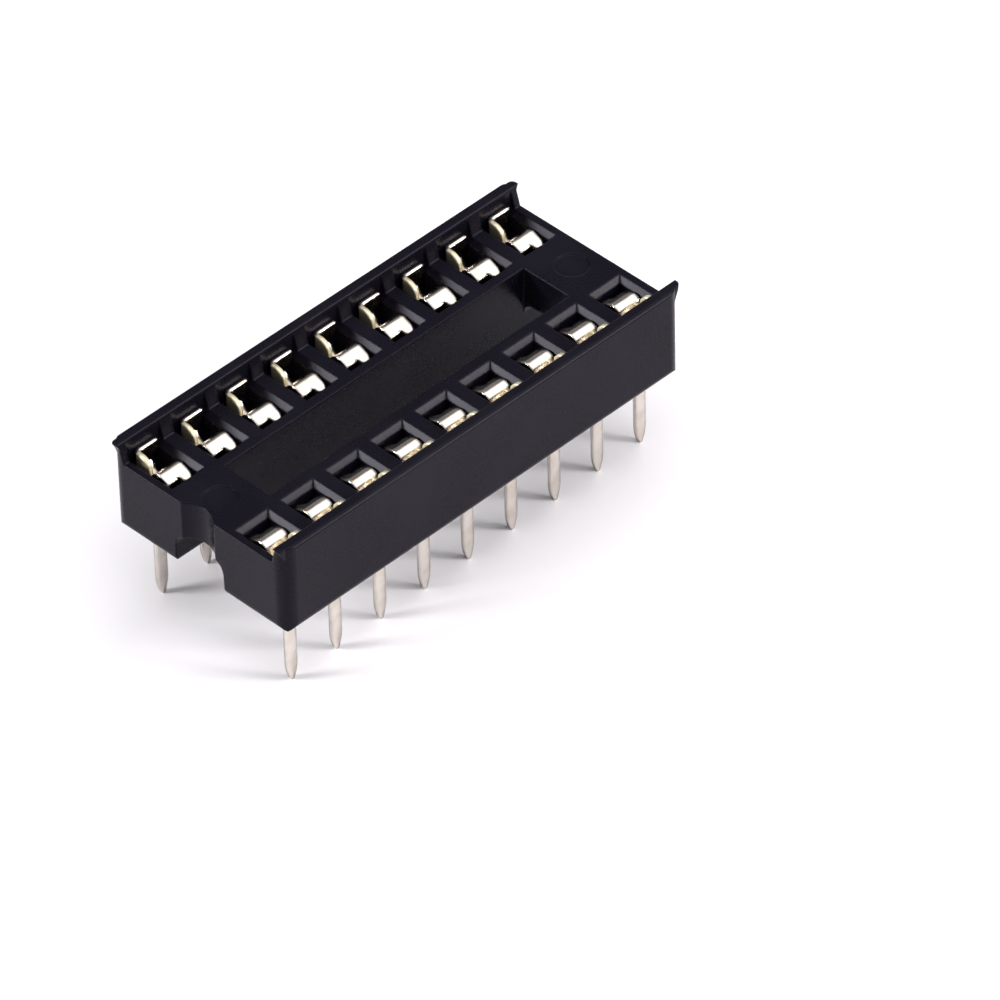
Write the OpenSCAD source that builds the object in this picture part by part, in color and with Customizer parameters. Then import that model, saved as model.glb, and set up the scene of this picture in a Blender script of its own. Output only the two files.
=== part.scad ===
// Dual-leaf socket for a dual in-line chip: one moulded housing and a row of stamped contacts
// on each side. X runs along the rows, Y across them, and Z = 0 is the face that sits on the
// board. The polarity notch is at the -X end. All lengths are in millimetres.

/* [Layout] */
// Contacts in each of the two rows
contacts_per_row = 9; // [3:1:14]
// Distance between neighbouring contacts in a row
pitch = 2.54; // [2.4:0.02:2.8]
// Distance between the two rows of tails
row_spacing = 7.62; // [7.5:0.02:10.2]

/* [Housing] */
// Outer face of the housing beyond the line of the tails
side_margin = 1.27; // [1.2:0.01:1.6]
// Height of the deck that the chip rests on
deck_h = 3.55; // [3.4:0.05:4.4]
// Rise of the outer walls above the deck
wall_rise = 0.95; // [0.6:0.05:1.4]
// Thickness of the outer walls at the top
wall_top_t = 0.52; // [0.3:0.02:0.54]
// Further thickness that the outer walls gain down to the deck
wall_splay = 0.26; // [0.1:0.02:0.34]
// Width of each contact rail at the deck, outer wall included
rail_w = 3.76; // [3.5:0.02:3.8]
// Amount by which the open sides of the rails lean back towards the board
rail_lean = 0.1; // [0:0.02:0.3]
// Length of each end bar along the rows
bar_len = 2.8; // [2.2:0.1:3]
// Height of the open tunnel under the end bars
tunnel_h = 1.65; // [1:0.05:2]
// Depth of the shallow recess round the tails under each rail
recess_d = 0.12; // [0.06:0.02:0.2]
// Height of the cavity floor, which the tails pass through, above the board
floor_t = 0.85; // [0.6:0.05:1.1]
// Reach of the flared wall ends beyond the end faces
horn_reach = 0.16; // [0.1:0.02:0.3]
// Depth of the polarity notch
notch_depth = 0.42; // [0.2:0.02:0.8]
// Width of the polarity notch
notch_w = 1.9; // [1.2:0.1:2.4]

/* [Roundings] */
// Radius of the four upright outer corners
corner_r = 0.65; // [0.2:0.05:0.8]
// Radius under the end faces
end_edge_r = 0.38; // [0.1:0.02:0.5]
// Radius along the inner bottom edge of each rail
inner_edge_r = 0.25; // [0.1:0.05:0.5]
// Radius along the outer bottom edge of each rail
outer_edge_r = 0.38; // [0.1:0.02:0.45]
// Radius along the outer top edge of each wall
top_edge_r = 0.14; // [0.05:0.01:0.25]
// Radius where the end bars run into the rails underneath
gusset_r = 0.55; // [0.2:0.05:0.8]

/* [Cavities] */
// Width of each cavity along the row
cavity_w = 1.44; // [1.4:0.02:1.6]
// Distance from the tail line in to the inner end of the cavity
cavity_in = 1.76; // [1.7:0.02:1.9]
// Width of the sloped lead-in round each cavity
lead_in_w = 0.23; // [0.1:0.01:0.3]
// Depth of the sloped lead-in round each cavity
lead_in_d = 0.28; // [0.1:0.02:0.5]

/* [Contacts] */
// Thickness of the sheet that the contacts are stamped from
sheet_t = 0.2; // [0.14:0.01:0.22]
// Width of a contact along the row
contact_w = 1.24; // [1.1:0.02:1.3]
// Distance from the tail line out to the middle of the back leaf
back_out = 0.59; // [0.5:0.01:0.62]
// Height of the back leaf above the deck
back_rise = 0.25; // [0:0.05:0.4]
// Distance from the tail line in to the crest of the front leaf
crest_in = 0.85; // [0.7:0.05:0.95]
// Depth of the crest of the front leaf below the deck
crest_drop = 0.16; // [0.1:0.02:0.4]
// Length of the lip that is folded down from the crest
lip_len = 0.74; // [0.6:0.02:0.84]
// Slope of the folded lip below level, in degrees
lip_slope = 22; // [10:1:35]
// Depth of the slit between the two lobes of the lip
lobe_slit = 0.28; // [0.1:0.02:0.4]
// Open gap between the two leaves where they grip a lead
grip_gap = 0.12; // [0.05:0.01:0.16]
// Height of the grip above the cavity floor
grip_h = 1.5; // [1.3:0.05:1.7]

/* [Tails] */
// Length of the tails below the board face
tail_len = 3.85; // [2.5:0.05:5]
// Width of the tails
tail_w = 0.55; // [0.4:0.01:0.6]
// Length of the pointed end of the tails
tail_point = 0.95; // [0.4:0.05:1.4]
// Width of the very tip of the tails
tail_tip_w = 0.12; // [0.08:0.01:0.2]

/* [Fits] */
// Clearance round a tail in its slot in the floor
slot_clear = 0.02; // [0.01:0.01:0.04]
// Gap between the back leaf and the wall of its cavity
back_clear = 0.03; // [0.01:0.01:0.05]

/* [Hidden] */
pin_count = 2 * contacts_per_row;
body_l = contacts_per_row * pitch;
body_w = row_spacing + 2 * side_margin;
tail_y = row_spacing / 2;
rail_in = body_w / 2 - rail_w;
wall_h = deck_h + wall_rise;
window_l = body_l - 2 * bar_len;
back_y = tail_y + back_out;
cavity_out = back_y + sheet_t / 2 + back_clear;
cavity_inner = tail_y - cavity_in;
// The horns are a little thinner than the walls, and grow out of the rounded corners
horn_inset = 0.16;
horn_root = 0.25;
horn_r = 0.25;
// The recess stops short of the end faces and of the outer faces
recess_in = 2.85;
recess_end_gap = 0.6;
recess_side_gap = 0.5;
// Shallow round marks left by the mould on the end bars
mould_mark_d = 1.5;
mould_mark_depth = 0.05;
// Bends of the contact
bend_r_out = 0.3;
bend_r_in = bend_r_out - sheet_t;
crest_r = 0.38;
shoulder_w = 0.95;
flange_y = tail_y - 0.6;
over = 1;
$fn = 48;

function pad_num(i) = i < 10 ? str("0", i) : str(i);
function contact_name(i) = str("contact_", pad_num(i));

// ---- Outlines -------------------------------------------------------------------------------

// What a corner of radius r loses when it is rounded: the corner points to +X +Y at the origin
module corner_waste(r) {
    translate([-r, -r]) difference() {
        square([r + over, r + over]);
        circle(r);
    }
}

// Unit normal, to the left of the direction from a to b
function side(a, b) = let (d = b - a) [-d[1], d[0]] / norm(d);
// Point at distance h from corner b of a path, measured square to both of its legs
function mitre(a, b, c, h) = let (m = side(a, b), n = side(b, c)) b + (m + n) * h / (1 + m * n);
// One edge of a strip that follows a path at distance h
function strip_edge(p, h) = [for (i = [0 : len(p) - 1])
    i == 0 ? p[0] + side(p[0], p[1]) * h :
    i == len(p) - 1 ? p[i] + side(p[i - 1], p[i]) * h :
    mitre(p[i - 1], p[i], p[i + 1], h)];
// Points on an arc
function arc(c, r, from, to, n = 8) = [for (k = [0 : n])
    let (a = from + (to - from) * k / n) c + r * [cos(a), sin(a)]];

// Sheet of thickness t bent along a path
module strip(path, t = sheet_t) {
    polygon(concat(strip_edge(path, t / 2),
        [for (i = [len(path) - 1 : -1 : 0]) strip_edge(path, -t / 2)[i]]));
}

// Turns an outline drawn in Y and Z into a solid of length l, centred on X = 0
module along_x(l) {
    rotate([90, 0, 90]) translate([0, 0, -l / 2]) linear_extrude(l) children();
}

// Turns an outline drawn in X and Z into a solid of length l, centred on Y = 0
module along_y(l) {
    rotate([90, 0, 0]) translate([0, 0, -l / 2]) linear_extrude(l) children();
}

// ---- Housing --------------------------------------------------------------------------------

// Section across one rail and its raised wall, on the +Y side
module rail_section() {
    difference() {
        polygon([[rail_in + rail_lean, 0], [body_w / 2, 0], [body_w / 2, wall_h],
            [body_w / 2 - wall_top_t, wall_h], [body_w / 2 - wall_top_t - wall_splay, deck_h],
            [rail_in, deck_h]]);
        translate([rail_in + rail_lean, 0]) rotate(180) corner_waste(inner_edge_r);
        translate([body_w / 2, 0]) rotate(-90) corner_waste(outer_edge_r);
        translate([body_w / 2, wall_h]) corner_waste(top_edge_r);
    }
}

// Wall alone, at the height where its ends flare
module wall_section() {
    intersection() {
        rail_section();
        translate([body_w / 2 - wall_top_t - wall_splay, deck_h - horn_reach])
            square([wall_top_t + wall_splay, wall_rise + horn_reach]);
    }
}

// Side view of the rails, with the rounded edges under both end faces
module end_profile() {
    difference() {
        translate([-body_l / 2, 0]) square([body_l, wall_h]);
        for (s = [-1, 1]) scale([s, 1])
            translate([body_l / 2, 0]) rotate(-90) corner_waste(end_edge_r);
    }
}

// Plan of size l by w, rounded at its four upright corners
module plan(l, w, r) {
    difference() {
        square([l, w], center = true);
        for (sx = [-1, 1]) for (sy = [-1, 1]) scale([sx, sy])
            translate([l / 2, w / 2]) corner_waste(r);
    }
}

module rails() {
    intersection() {
        for (s = [-1, 1]) scale([1, s, 1]) along_x(body_l + 2 * over) rail_section();
        along_y(body_w + 2 * over) end_profile();
        linear_extrude(wall_h + over) plan(body_l, body_w, corner_r);
    }
}

// Wall ends, which sweep out of the rounded corners in a hollow curve up to the top edge
module horns() {
    rise = wall_rise + horn_reach;
    out = horn_root + horn_reach;
    r = (rise * rise + out * out) / (2 * out);
    intersection() {
        for (s = [-1, 1]) scale([1, s, 1]) along_x(body_l + 2 * over) wall_section();
        along_y(body_w + 2 * over) for (s = [-1, 1]) scale([s, 1]) difference() {
            translate([body_l / 2 - 2 * horn_root, wall_h - rise])
                square([2 * horn_root + horn_reach, rise]);
            translate([body_l / 2 - horn_root + r, wall_h - rise]) circle(r, $fn = 120);
        }
        linear_extrude(wall_h + over) 
            plan(body_l + 2 * horn_reach, body_w - 2 * horn_inset, horn_r);
    }
}

// Bar that ties the rails together at one end, with rounded gussets down onto the rails
module end_bar() {
    translate([body_l / 2 - bar_len / 2, 0, 0]) along_x(bar_len) {
        translate([-rail_in - over / 2, tunnel_h])
            square([2 * rail_in + over, deck_h - tunnel_h]);
        for (s = [-1, 1]) scale([s, 1]) translate([rail_in + rail_lean / 2, tunnel_h]) difference() {
            translate([-gusset_r, -gusset_r]) square([gusset_r + over / 2, gusset_r + over / 2]);
            translate([-gusset_r, -gusset_r]) circle(gusset_r);
        }
    }
}

// Shallow recess round the tails, so that the housing stands on the rims of its rails
module recesses() {
    w = body_w / 2 - recess_side_gap - recess_in;
    for (s = [-1, 1]) scale([1, s, 1]) translate([0, recess_in + w / 2, 0])
        cube([body_l - 2 * recess_end_gap, w, 2 * recess_d], center = true);
}

// Space for one contact on the +Y side, with its sloped lead-in and the slot for its tail
module cavity() {
    translate([-cavity_w / 2, cavity_inner, floor_t])
        cube([cavity_w, cavity_out - cavity_inner, deck_h + over]);
    intersection() {
        translate([0, (cavity_inner + cavity_out) / 2, 0]) along_y(4 * cavity_w)
            polygon([[-cavity_w / 2, deck_h - lead_in_d], [cavity_w / 2, deck_h - lead_in_d],
                [cavity_w / 2 + lead_in_w, deck_h], [cavity_w / 2 + lead_in_w, deck_h + over],
                [-cavity_w / 2 - lead_in_w, deck_h + over], [-cavity_w / 2 - lead_in_w, deck_h]]);
        along_x(2 * cavity_w)
            polygon([[cavity_inner, deck_h - lead_in_d], [cavity_out, deck_h - lead_in_d],
                [cavity_out, deck_h + over], [cavity_inner - lead_in_w, deck_h + over],
                [cavity_inner - lead_in_w, deck_h]]);
    }
    slot_w = tail_w + 2 * slot_clear;
    slot_t = sheet_t + 2 * slot_clear;
    translate([-slot_w / 2, tail_y - slot_t / 2, -over])
        cube([slot_w, slot_t, floor_t + 2 * over]);
}

module notch() {
    r = (notch_depth * notch_depth + notch_w * notch_w / 4) / (2 * notch_depth);
    translate([-body_l / 2 - r + notch_depth, 0, 0]) cylinder(h = wall_h, r = r, $fn = 96);
}

module mould_marks() {
    for (s = [-1, 1]) translate([s * (body_l / 2 - bar_len / 2 + 0.1), 0, 0]) {
        translate([0, 0, deck_h - mould_mark_depth]) cylinder(h = over, d = mould_mark_d);
        translate([0, 0, tunnel_h - over]) cylinder(h = over + mould_mark_depth, d = mould_mark_d / 2);
    }
}

module housing() {
    color([0.1, 0.1, 0.12]) difference() {
        union() {
            rails();
            horns();
            for (s = [-1, 1]) scale([s, 1, 1]) end_bar();
        }
        for (turn = [0, 180]) rotate(turn)
            for (i = [0 : contacts_per_row - 1]) translate([place(i), 0, 0]) cavity();
        recesses();
        notch();
        mould_marks();
    }
}

// ---- Contact --------------------------------------------------------------------------------

// Back leaf, side web and the short flange that carries the front leaf, seen from above
module channel_plan() {
    x0 = -contact_w / 2;
    // back leaf
    translate([x0 + bend_r_out, back_y - sheet_t / 2])
        square([contact_w - bend_r_out, sheet_t]);
    // bend between the back leaf and the web
    intersection() {
        translate([x0 + bend_r_out, back_y + sheet_t / 2 - bend_r_out]) difference() {
            circle(bend_r_out);
            circle(bend_r_in);
        }
        translate([x0, back_y + sheet_t / 2 - bend_r_out]) square(bend_r_out);
    }
    // web
    translate([x0, flange_y - sheet_t / 2])
        square([sheet_t, back_y + sheet_t / 2 - bend_r_out - flange_y + sheet_t / 2]);
    // flange
    translate([x0, flange_y - sheet_t / 2]) square([contact_w, sheet_t]);
}

// Side view of the channel: the web falls away in a curve from the top of the back leaf
module channel_profile() {
    top = deck_h + back_rise;
    low = floor_t + 0.75;
    r = 0.55;
    polygon(concat([[back_y + sheet_t, floor_t], [back_y + sheet_t, top]],
        arc([back_y - 0.35, top - r], r, 90, 180, 10),
        [[back_y - 0.35 - r, low + 0.6], [flange_y + sheet_t, low], [flange_y - sheet_t, low],
            [flange_y - sheet_t, floor_t]]));
}

// Lower half of the back leaf stands over the tail through a step in the sheet
module tail_step() {
    intersection() {
        along_x(shoulder_w) strip([[tail_y, floor_t], [tail_y, floor_t + 0.12],
            [back_y, floor_t + 0.62], [back_y, floor_t + 0.9]]);
        translate([-over, 0, floor_t]) cube([2 * over, body_w, deck_h]);
    }
}

module tail() {
    w = tail_w / 2;
    tip = tail_tip_w / 2;
    steps = 8;
    // The edges run in to the tip on a curve that starts out parallel to the tail
    point = [for (k = [0 : steps]) let (u = k / steps)
        [w - (w - tip) * u * u, -tail_len + tail_point * (1 - u) + tip * 0.5 * (1 - u)]];
    translate([0, tail_y, 0]) along_y(sheet_t)
        polygon(concat([[-w, floor_t + 0.1], [w, floor_t + 0.1]], point,
            [for (k = [steps : -1 : 0]) [-point[k][0], point[k][1]]]));
}

// Tongue lanced out of the back leaf, bowed in to the grip
module back_tongue() {
    grip_z = floor_t + grip_h;
    along_x(shoulder_w * 0.6) strip([[back_y, grip_z - 0.75], [back_y, grip_z - 0.6],
        [tail_y + (grip_gap + sheet_t) / 2, grip_z - 0.08],
        [tail_y + (grip_gap + sheet_t) / 2, grip_z + 0.08],
        [back_y, grip_z + 0.6], [back_y, grip_z + 0.75]]);
}

// Front leaf: up from the flange, in to the grip, back to the crest and over into the lip
module front_leaf() {
    grip_z = floor_t + grip_h;
    crest_y = tail_y - crest_in;
    crest_z = deck_h - crest_drop - sheet_t / 2;
    lean = 62;
    centre = [crest_y, crest_z - crest_r];
    bend = arc(centre, crest_r, 90 - lean, 90 + lip_slope);
    lip_end = bend[len(bend) - 1] + lip_len * [-cos(lip_slope), -sin(lip_slope)];
    rise = [tail_y - (grip_gap + sheet_t) / 2, grip_z + 0.08];
    intersection() {
        along_x(contact_w) strip(concat([[flange_y, floor_t], [flange_y, floor_t + 0.5],
            [tail_y - (grip_gap + sheet_t) / 2, grip_z - 0.08], rise], bend, [lip_end]));
        linear_extrude(wall_h) lip_plan(lip_end[0]);
    }
}

// Plan of the front leaf: the lip ends in one square and one round lobe with a slit between
module lip_plan(end_y) {
    w = contact_w / 2;
    lobe_w = (contact_w - 0.14) / 2;
    difference() {
        translate([-w, end_y - over]) square([contact_w, body_w]);
        translate([0, end_y + lobe_slit]) circle(0.07);
        translate([-0.07, end_y - over]) square([0.14, over + lobe_slit]);
        translate([w, end_y]) rotate(-90) corner_waste(lobe_w / 2);
        translate([w - lobe_w, end_y]) rotate(180) corner_waste(lobe_w / 2 - 0.001);
    }
}

// One contact on the +Y side, its tail on X = 0
module contact_form() {
    difference() {
        intersection() {
            translate([0, 0, floor_t]) linear_extrude(wall_h) channel_plan();
            along_x(2 * contact_w) channel_profile();
        }
        translate([-shoulder_w / 2, back_y - sheet_t, floor_t - over])
            cube([contact_w, 2 * sheet_t, over + grip_h + 0.7]);
    }
    back_tongue();
    tail_step();
    tail();
    front_leaf();
}

// Place along X of contact i of a row, counted from the -X end
function place(i) = (i - (contacts_per_row - 1) / 2) * pitch;

// Contacts 1 to n run along the -Y row from the notch, and n + 1 to 2 n come back along +Y
module contact(number) {
    near = number <= contacts_per_row;
    along = near ? number - 1 : pin_count - number;
    color([0.86, 0.85, 0.83]) translate([place(along), 0, 0])
        rotate(near ? 180 : 0) contact_form();
}

housing();
for (i = [1 : pin_count]) contact(i);
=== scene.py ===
"""Looks for a dual-leaf socket: satin black moulded housing, bright tin-plated stamped contacts."""

import bpy
import numpy as np
from mathutils import Matrix, Vector


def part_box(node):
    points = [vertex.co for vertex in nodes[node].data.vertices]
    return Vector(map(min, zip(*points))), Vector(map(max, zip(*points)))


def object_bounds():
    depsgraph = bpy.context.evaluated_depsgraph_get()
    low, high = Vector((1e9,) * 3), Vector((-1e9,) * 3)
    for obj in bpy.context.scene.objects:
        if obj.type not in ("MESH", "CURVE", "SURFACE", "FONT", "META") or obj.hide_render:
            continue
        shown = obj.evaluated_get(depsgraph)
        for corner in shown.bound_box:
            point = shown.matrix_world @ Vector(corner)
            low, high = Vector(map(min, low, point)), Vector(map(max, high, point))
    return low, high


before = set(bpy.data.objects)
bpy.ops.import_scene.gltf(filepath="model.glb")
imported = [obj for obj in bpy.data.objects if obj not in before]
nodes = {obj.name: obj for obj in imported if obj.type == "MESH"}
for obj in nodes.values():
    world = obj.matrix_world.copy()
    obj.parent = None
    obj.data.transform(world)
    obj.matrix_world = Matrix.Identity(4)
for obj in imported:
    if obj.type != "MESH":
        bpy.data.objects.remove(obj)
cad_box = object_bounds()
scene = bpy.context.scene
scene.view_settings.view_transform = "Standard"

# ---- Housing --------------------------------------------------------------------------------
# One moulding in black glass-filled polyester. The tool was spark-eroded, so its skin has a very
# fine even grain, and the faces drawn along the tool have faint lines in the drawing direction.

mm = 0.001


class Socket:
    """A node's output that adds Math nodes to its wiring when it meets an operator."""

    def __init__(self, wiring, output):
        self.wiring, self.output = wiring, output

    def math(self, operation, *values):
        return self.wiring.node("ShaderNodeMath", {"operation": operation},
                                dict(enumerate((self, *values))))

    def __add__(self, other): return self.math("ADD", other)
    def __mul__(self, other): return self.math("MULTIPLY", other)
    __radd__, __rmul__ = __add__, __mul__

    def part(self, axis):
        """One of a vector's three parts: "X", "Y" or "Z"."""
        return self.wiring.node("ShaderNodeSeparateXYZ", {}, {0: self}, axis)

    def ramp(self, low, high, to_low=0.0, to_high=1.0):
        """The value carried from low..high to to_low..to_high, smoothly and held at both ends."""
        return self.wiring.node("ShaderNodeMapRange", {"interpolation_type": "SMOOTHSTEP"},
                                {"Value": self, "From Min": low, "From Max": high,
                                 "To Min": to_low, "To Max": to_high}, "Result")


class Wiring:
    """A node tree that is built up node by node."""

    def __init__(self, tree):
        self.tree = tree

    def node(self, kind, settings, inputs, output=0):
        """Adds any node: its settings first, then the value or link of each of its sockets."""
        made = self.tree.nodes.new(kind)
        for key, value in settings.items():
            setattr(made, key, value)
        for key, value in inputs.items():
            if isinstance(value, Socket):
                self.tree.links.new(value.output, made.inputs[key])
            else:
                made.inputs[key].default_value = value
        return Socket(self, made.outputs[output])


class Finish(Wiring):
    """A material wired round its Principled shader, whose plain values come first."""

    def __init__(self, name, **plain):
        self.material = bpy.data.materials.new(name)
        self.material.use_nodes = True
        super().__init__(self.material.node_tree)
        self.shader = self.tree.nodes["Principled BSDF"]
        for socket, value in plain.items():
            self.shader.inputs[socket.replace("_", " ")].default_value = value

    def place(self):
        """The point on the part, in millimetres."""
        here = self.node("ShaderNodeTexCoord", {}, {}, "Object")
        return self.node("ShaderNodeVectorMath", {"operation": "SCALE"}, {0: here, "Scale": 1 / mm})

    def stretched(self, point, scale):
        """The point with each of its parts multiplied by its own scale."""
        return self.node("ShaderNodeVectorMath", {"operation": "MULTIPLY"}, {0: point, 1: scale})

    def noise(self, point, scale, detail):
        """Soft clouds from 0 to 1, about 1/scale mm across, with finer ones laid over them."""
        return self.node("ShaderNodeTexNoise", {},
                         {"Vector": point, "Scale": scale, "Detail": detail})

    def mix(self, factor, a, b):
        """Colour a where factor is 0 and colour b where it is 1."""
        return self.node("ShaderNodeMix", {"data_type": "RGBA"},
                         {0: factor, 6: a if isinstance(a, Socket) else (*a, 1.0),
                          7: b if isinstance(b, Socket) else (*b, 1.0)}, 2)

    def bump(self, height, depth_mm, strength, edge_mm):
        """Surface relief, laid over edges that look rounded to that radius."""
        soft = self.node("ShaderNodeBevel", {"samples": 8}, {"Radius": edge_mm * mm})
        return self.node("ShaderNodeBump", {}, {"Height": height, "Distance": depth_mm * mm,
                                                "Strength": strength, "Normal": soft}, "Normal")

    def feed(self, **links):
        """Links each named socket of the shader and hands over the finished material."""
        for socket, value in links.items():
            self.tree.links.new(value.output, self.shader.inputs[socket.replace("_", " ")])
        return self.material


def black_polyester():
    """Violet-black body colour; grain and draw lines in the bump; worn gloss in the roughness."""
    skin = Finish("black_polyester", IOR=1.5, Specular_IOR_Level=0.09,
                  Specular_Tint=(0.94, 0.91, 1.0, 1.0))
    point = skin.place()
    cloud = skin.noise(point, 0.35, 3.0)
    grain = skin.noise(point, 14.0, 3.0)
    draw_lines = skin.noise(skin.stretched(point, (9.0, 9.0, 0.5)), 1.0, 2.0)
    colour = skin.mix(cloud.ramp(0.35, 0.7), (0.0046, 0.0038, 0.0076), (0.0068, 0.0058, 0.0104))
    rough = cloud * 0.08 + grain * 0.08 + 0.20
    return skin.feed(Base_Color=colour, Roughness=rough,
                     Normal=skin.bump(grain * 0.8 + draw_lines * 0.4, 0.012, 0.35, 0.12))


nodes["housing"].data.materials.clear()
nodes["housing"].data.materials.append(black_polyester())

# ---- Contacts -------------------------------------------------------------------------------
# Stamped and folded from 0.2 mm phosphor bronze strip and tin plated bright. Rolling lines run
# along the strip and the plating is a little cloudy. Over the side webs the tin is made matt, and
# its colour is a lighter cream there: a painted highlight for the light the webs catch.

sheet = 0.2
first, second = (np.array(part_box(name)) / mm for name in ("contact_01", "contact_02"))
pitch = second[0, 0] - first[0, 0]
web_out = (first[1, 0] - first[0, 0]) / 2 - sheet / 2
back_out = -first[0, 1]


def over_the_web(point):
    """1 on the side webs and 0 elsewhere: a band beside each contact's middle line, repeated at
    the pitch and turned over for the other row, between the front leaf and the back leaf."""
    across = point.part("Y")
    beside = (point.part("X") * across.math("SIGN") + web_out).math("WRAP", pitch / 2, -pitch / 2)
    outwards = across.math("ABSOLUTE")
    return (beside.math("ABSOLUTE").ramp(sheet / 2, 0.22, 1.0, 0.0)
            * outwards.ramp(back_out - 1.2, back_out - 1.0)
            * outwards.ramp(back_out - 0.3, back_out - 0.12, 1.0, 0.0))


def bright_tin():
    """Nearly white metal, faint rolling lines, cloudy plating; a painted highlight in cream over
    the webs.
    """
    tin = Finish("bright_tin", Metallic=1.0)
    point = tin.place()
    web = over_the_web(point)
    cloud = tin.noise(point, 1.6, 3.0)
    rolling = tin.noise(tin.stretched(point, (26.0, 26.0, 1.2)), 1.0, 2.0)
    colour = tin.mix(cloud.ramp(0.35, 0.75), (0.72, 0.67, 0.615), (0.61, 0.545, 0.47))
    # Painted highlight: the webs get a lighter cream colour that stands in for the light they
    # catch.
    colour = tin.mix(web, colour, (0.93, 0.85, 0.62))
    return tin.feed(Base_Color=colour, Normal=tin.bump(rolling, 0.004, 0.3, 0.24),
                    Roughness=cloud * 0.06 + rolling * 0.06 + web * 0.36 + 0.08)


tin = bright_tin()
for name, contact in nodes.items():
    if name.startswith("contact_"):
        contact.data.materials.clear()
        contact.data.materials.append(tin)

# ---- Floor, light and camera ----------------------------------------------------------------
# The socket stands on its tails on a plain pale table. A wide lamp hangs overhead, a little to the
# near side. Two small ones stand at the near right and the far left, where the slopes that lead
# into the cavities mirror them, so the slopes show light against the deck.

tail_tip = cad_box[0][2]


def table_top(half_m, height_m):
    """A level square: four corners, that half size to each side of the middle."""
    corners = np.array([[-1, -1, 0], [1, -1, 0], [1, 1, 0], [-1, 1, 0]]) * half_m
    corners[:, 2] = height_m
    mesh = bpy.data.meshes.new("table")
    mesh.from_pydata(corners.tolist(), [], [(0, 1, 2, 3)])
    table = bpy.data.objects.new("table", mesh)
    scene.collection.objects.link(table)
    return table


def pale_table():
    """Plain pale lavender-white, even enough to show only the shadow."""
    paper = Finish("pale_table", Roughness=0.6)
    point = paper.place()
    patches = paper.noise(point, 0.02, 1.0)
    return paper.feed(Base_Color=paper.mix(patches, (0.945, 0.922, 0.950), (0.955, 0.932, 0.960)))


table = table_top(0.6, tail_tip)
table.data.materials.append(pale_table())


def lamp(name, place_mm, aim_mm, size_mm, watts, colour):
    """A soft light of that width and height at one place, turned towards another."""
    light = bpy.data.lights.new(name, "AREA")
    light.shape, light.size, light.size_y = "RECTANGLE", size_mm[0] * mm, size_mm[1] * mm
    light.energy, light.color = watts, colour
    made = bpy.data.objects.new(name, light)
    made.location = Vector(place_mm) * mm
    made.rotation_euler = (Vector(aim_mm) - Vector(place_mm)).to_track_quat("-Z", "Y").to_euler()
    scene.collection.objects.link(made)


lamp("top_box", (95, -140, 265), (95, -140, 0), (450, 570), 1.36, (1.0, 0.99, 1.0))
lamp("near_box", (131, -188, 100), (0, 0, 0), (64, 64), 0.34, (1.0, 0.985, 0.98))
lamp("far_box", (-188, 135, 97), (0, 0, 0), (70, 70), 0.50, (0.985, 0.985, 1.0))

world = bpy.data.worlds.new("room")
scene.world = world
world.use_nodes = True
background = world.node_tree.nodes["Background"]
background.inputs["Color"].default_value = (0.985, 0.98, 1.0, 1.0)
# The room is pale at table height and dim higher up, where only the lamps shine
room = Wiring(world.node_tree)
height = room.node("ShaderNodeTexCoord", {}, {}, "Generated").part("Z")
room.tree.links.new(height.ramp(0.08, 0.24, 0.95, 0.24).output, background.inputs["Strength"])

# Camera: a long lens from the front left, a little over forty degrees above the table.
azimuth, elevation, roll = (np.radians(v) for v in (-44.2, 41.26, -1.468))
distance_mm, across_mm, up_mm = 385.53, 4.091, -2.2475
back = Vector((np.sin(azimuth) * np.cos(elevation), -np.cos(azimuth) * np.cos(elevation),
               np.sin(elevation)))
right = (-back).cross(Vector((0, 0, 1))).normalized()
level_up = right.cross(-back)
right, up = (right * np.cos(roll) + level_up * np.sin(roll),
             level_up * np.cos(roll) - right * np.sin(roll))
camera_data = bpy.data.cameras.new("camera")
camera_data.lens, camera_data.sensor_width = 336.62, 36.0
camera_data.clip_start, camera_data.clip_end = 0.01, 10.0
camera = bpy.data.objects.new("camera", camera_data)
place = (back * distance_mm + right * across_mm + up * up_mm) * mm
turn = Matrix((right, up, back)).transposed().to_4x4()
camera.matrix_world = Matrix.Translation(place) @ turn
scene.collection.objects.link(camera)
scene.camera = camera
